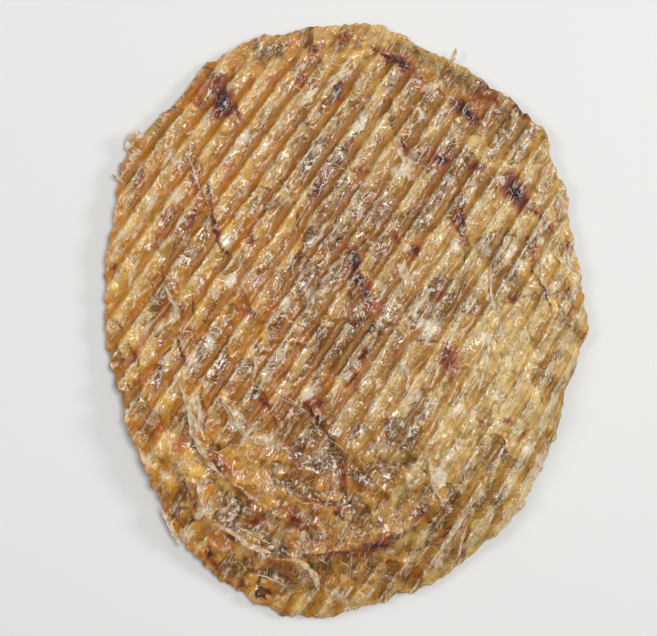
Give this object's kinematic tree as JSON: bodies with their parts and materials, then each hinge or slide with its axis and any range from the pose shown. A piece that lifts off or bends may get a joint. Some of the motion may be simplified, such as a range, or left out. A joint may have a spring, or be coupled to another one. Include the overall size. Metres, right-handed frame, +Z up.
{
  "type": "dried filefish sheet",
  "caption": "Large round sheet of dried, roasted filefish with slanting press ridges, gently domed, with a thin, ragged rim; it lies ridged face up.",
  "frame": {"origin": "middle of the sheet's footprint, at the height of the surface it rests on", "axes": "+Z up out of the ridged face, +Y along the sheet's longer side, +X along its shorter side"},
  "size_m": [0.214, 0.2634, 0.0208],
  "materials": {
    "dried_fish": null
  },
  "bodies": {
    "root": {"filefish_sheet": "dried_fish"}
  },
  "joints": []
}
